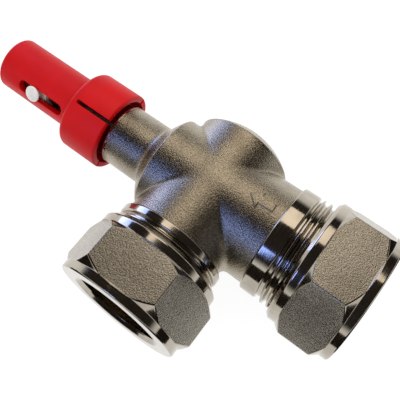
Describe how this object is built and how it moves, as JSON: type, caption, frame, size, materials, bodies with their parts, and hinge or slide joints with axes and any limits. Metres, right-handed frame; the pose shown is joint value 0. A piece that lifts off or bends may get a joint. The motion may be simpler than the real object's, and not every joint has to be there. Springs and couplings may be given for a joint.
{
  "type": "differential bypass valve",
  "caption": "Angle bypass valve with two compression ports at right angles, a spring-loaded disc inside and a red cap on the neck that sets its opening pressure.",
  "frame": {"origin": "on the axis of the inlet, where the end of the inlet pipe stops in its socket", "axes": "+X out along the inlet, away from the neck and cap; the outlet points along -Y; +Z square to both ports, on the side with the flow arrow"},
  "size_m": [0.112, 0.0566, 0.033],
  "materials": {
    "blasted_nickel": "nickel-plated forging, bead-blasted, satin",
    "turned_nickel": "nickel-plated, turned, bright",
    "bare_brass": "turned, bare",
    "red_cap": "moulded, half gloss",
    "white_pointer": "moulded, smooth",
    "seal_rubber": "moulded, matt",
    "stainless": "drawn or stamped, bright"
  },
  "bodies": {
    "valve": {"valve_body": "blasted_nickel", "gland_bush": "bare_brass", "bush_o_ring": "seal_rubber", "outer_spindle_o_ring": "seal_rubber", "inner_spindle_o_ring": "seal_rubber", "seat_ring": "bare_brass", "spring": "stainless"},
    "cap": {"setting_cap": "red_cap"},
    "spindle": {"spindle": "bare_brass", "drive_hex": "bare_brass", "drive_screw": "stainless", "pointer_ring": "white_pointer", "pointer_button": "white_pointer", "spring_washer": "stainless"},
    "disc": {"disc_carrier": "bare_brass", "disc_seal": "seal_rubber", "seal_washer": "stainless", "disc_nut": "stainless"},
    "inlet_olive": {"inlet_olive": "bare_brass"},
    "inlet_nut": {"inlet_nut": "turned_nickel"},
    "outlet_olive": {"outlet_olive": "bare_brass"},
    "outlet_nut": {"outlet_nut": "turned_nickel"}
  },
  "joints": [
    {"name": "cap_turn", "type": "hinge", "parent": "valve", "child": "cap", "pos_m": [-0.0222, 0, 0], "axis": [1, 0, 0], "range_deg": [-864, 1968]},
    {"name": "spindle_travel", "type": "slide", "parent": "cap", "child": "spindle", "axis": [1, 0, 0], "range_m": [-0.0036, 0.0082], "deforming": ["spring"]},
    {"name": "disc_lift", "type": "slide", "parent": "valve", "child": "disc", "axis": [-1, 0, 0], "range_m": [0, 0.0035], "stiffness_N_per_m": 600, "springref_m": -0.01, "deforming": ["spring"]},
    {"name": "inlet_olive_slide", "type": "slide", "parent": "valve", "child": "inlet_olive", "axis": [1, 0, 0], "range_m": [0, 0.008]},
    {"name": "inlet_nut_turn", "type": "hinge", "parent": "inlet_olive", "child": "inlet_nut", "pos_m": [-0.0222, 0, 0], "axis": [1, 0, 0], "range_deg": [0, 1588]},
    {"name": "outlet_olive_slide", "type": "slide", "parent": "valve", "child": "outlet_olive", "axis": [0, -1, 0], "range_m": [0, 0.008]},
    {"name": "outlet_nut_turn", "type": "hinge", "parent": "outlet_olive", "child": "outlet_nut", "pos_m": [-0.0222, 0, 0], "axis": [0, -1, 0], "range_deg": [0, 1588]}
  ],
  "couplings": [
    {"joint": "cap_turn", "follows": "spindle_travel", "rad_per_m": 4188.8},
    {"joint": "inlet_nut_turn", "follows": "inlet_olive_slide", "rad_per_m": 3463.7},
    {"joint": "outlet_nut_turn", "follows": "outlet_olive_slide", "rad_per_m": 3463.7}
  ]
}
